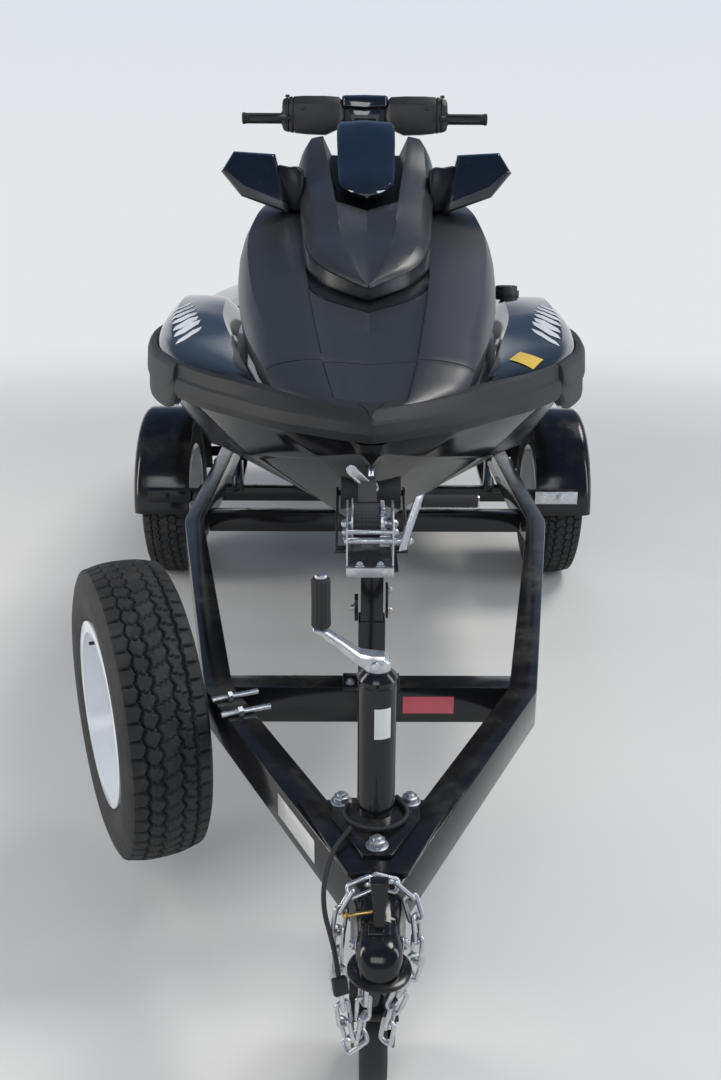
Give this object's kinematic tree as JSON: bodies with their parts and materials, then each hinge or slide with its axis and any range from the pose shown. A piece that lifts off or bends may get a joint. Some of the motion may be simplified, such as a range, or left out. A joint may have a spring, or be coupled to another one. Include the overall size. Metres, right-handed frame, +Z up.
{
  "type": "personal watercraft on a trailer",
  "caption": "Three-seat personal watercraft with opening hood and jet drive, parked on a single-axle tongue trailer with winch, jack and spare wheel.",
  "frame": {"origin": "on the ground at the middle of the whole outline, on the centre plane", "axes": "+Z up; -Y towards the bow and the tow coupler; +X to port"},
  "size_m": [1.568, 4.464, 1.646],
  "materials": {
    "gloss_black_gelcoat": "gloss gelcoat",
    "satin_grey_panel": "satin metallic grey",
    "gloss_visor": "gloss black",
    "mirror_face": "silvered glass",
    "dark_moulded": "moulded black plastic",
    "seat_vinyl": "marine vinyl over foam",
    "traction_mat": "grooved foam mat",
    "bumper_rubber": "matte moulded bumper",
    "marine_aluminium": "painted cast alloy",
    "impeller_steel": "polished stainless",
    "engine_metal": "cast block",
    "stainless": "stainless",
    "black_coated_steel": "black powder coat",
    "grip_rubber": "black rubber",
    "trailer_paint": "gloss black enamel",
    "tyre_rubber": "road tyre",
    "white_rim": "white enamel",
    "zinc_plate": "zinc plated",
    "bunk_carpet": "carpeted board",
    "winch_webbing": "dark webbing",
    "caster_rubber": "black rubber",
    "red_lens": "red lens"
  },
  "bodies": {
    "trailer_and_hull": {"hull": "gloss_black_gelcoat", "ride_plate": "marine_aluminium", "intake_grate": "marine_aluminium", "jet_pump": "marine_aluminium", "deck": "gloss_black_gelcoat", "stern_deck": "gloss_black_gelcoat", "light_harness": "grip_rubber", "nose_panel": "satin_grey_panel", "storage_bin": "dark_moulded", "console": "dark_moulded", "grab_handle": "dark_moulded", "deck_mats": "traction_mat", "bow_bumper": "bumper_rubber", "side_bumpers": "bumper_rubber", "sponsons": "dark_moulded", "engine_block": "engine_metal", "hull_fittings": "stainless", "fuel_cap": "dark_moulded", "rail_left": "trailer_paint", "rail_right": "trailer_paint", "crossmembers": "trailer_paint", "axle": "trailer_paint", "leaf_springs": "trailer_paint", "fenders": "trailer_paint", "frame_brackets": "trailer_paint", "spare_tyre": "tyre_rubber", "spare_rim": "white_rim", "spare_bracket": "zinc_plate", "bunks": "bunk_carpet", "winch_post": "trailer_paint", "bow_roller": "grip_rubber", "winch_frame": "zinc_plate", "winch_drum": "winch_webbing", "winch_strap": "winch_webbing", "coupler": "trailer_paint", "jack_tube": "trailer_paint", "jack_crank": "zinc_plate", "tail_lights": "red_lens"},
    "hood": {"hood_panel": "satin_grey_panel", "upper_cowl": "satin_grey_panel", "display_visor": "gloss_visor", "mirrors": "gloss_visor", "mirror_glass": "mirror_face"},
    "steering": {"handlebar": "black_coated_steel", "handlebar_pod": "dark_moulded", "grips": "grip_rubber"},
    "nozzle": {"steering_nozzle": "marine_aluminium"},
    "bucket": {"reverse_bucket": "marine_aluminium"},
    "impeller": {"impeller": "impeller_steel"},
    "glovebox_lid": {"glovebox_lid": "dark_moulded"},
    "driver_seat": {"driver_seat": "seat_vinyl"},
    "passenger_seat": {"passenger_seat": "seat_vinyl"},
    "boarding_step": {"boarding_step": "stainless"},
    "wheel_left": {"tyre_left": "tyre_rubber", "rim_left": "white_rim"},
    "wheel_right": {"tyre_right": "tyre_rubber", "rim_right": "white_rim"},
    "jack_leg": {"jack_leg": "zinc_plate"},
    "jack_caster": {"jack_caster": "zinc_plate"},
    "jack_wheel": {"jack_wheel": "caster_rubber"}
  },
  "joints": [
    {"name": "wheel_left_spin", "type": "hinge", "parent": "trailer_and_hull", "child": "wheel_left", "pos_m": [0.688, 0.5, 0.29], "axis": [1, 0, 0], "continuous": true},
    {"name": "wheel_right_spin", "type": "hinge", "parent": "trailer_and_hull", "child": "wheel_right", "pos_m": [-0.688, 0.5, 0.29], "axis": [1, 0, 0], "continuous": true},
    {"name": "jack_slide", "type": "slide", "parent": "trailer_and_hull", "child": "jack_leg", "axis": [0, 0, 1], "range_m": [0, 0.205]},
    {"name": "caster_swivel", "type": "hinge", "parent": "jack_leg", "child": "jack_caster", "pos_m": [0, -1.94, 0.167], "axis": [0, 0, 1], "continuous": true},
    {"name": "caster_wheel_spin", "type": "hinge", "parent": "jack_caster", "child": "jack_wheel", "pos_m": [0, -1.906, 0.075], "axis": [1, 0, 0], "continuous": true},
    {"name": "steering_turn", "type": "hinge", "parent": "trailer_and_hull", "child": "steering", "pos_m": [0, 0.42, 1.575], "axis": [0, 0.454, 0.891], "range_deg": [-25, 25]},
    {"name": "nozzle_turn", "type": "hinge", "parent": "trailer_and_hull", "child": "nozzle", "pos_m": [0, 2.045, 0.59], "axis": [0, 0, 1], "range_deg": [-20, 20]},
    {"name": "bucket_turn", "type": "hinge", "parent": "trailer_and_hull", "child": "bucket", "pos_m": [0, 2.075, 0.59], "axis": [1, 0, 0], "range_deg": [-75, 0]},
    {"name": "impeller_spin", "type": "hinge", "parent": "trailer_and_hull", "child": "impeller", "pos_m": [0, 1.84, 0.59], "axis": [0, 1, 0], "continuous": true},
    {"name": "hood_hinge", "type": "hinge", "parent": "trailer_and_hull", "child": "hood", "pos_m": [0, -1.08, 1.024], "axis": [1, 0, 0], "range_deg": [0, 42]},
    {"name": "glovebox_hinge", "type": "hinge", "parent": "trailer_and_hull", "child": "glovebox_lid", "pos_m": [0, 0.436, 1.236], "axis": [1, 0, 0], "range_deg": [0, 70]},
    {"name": "driver_seat_tilt", "type": "hinge", "parent": "trailer_and_hull", "child": "driver_seat", "pos_m": [0, 0.604, 1.012], "axis": [1, 0, 0], "range_deg": [0, 25]},
    {"name": "passenger_seat_tilt", "type": "hinge", "parent": "trailer_and_hull", "child": "passenger_seat", "pos_m": [0, 1.188, 1.222], "axis": [1, 0, 0], "range_deg": [0, 20]},
    {"name": "step_fold", "type": "hinge", "parent": "trailer_and_hull", "child": "boarding_step", "pos_m": [0, 2.206, 0.652], "axis": [1, 0, 0], "range_deg": [-175, 0]}
  ],
  "couplings": [
    {"joint": "nozzle_turn", "follows": "steering_turn", "ratio": -0.8}
  ]
}
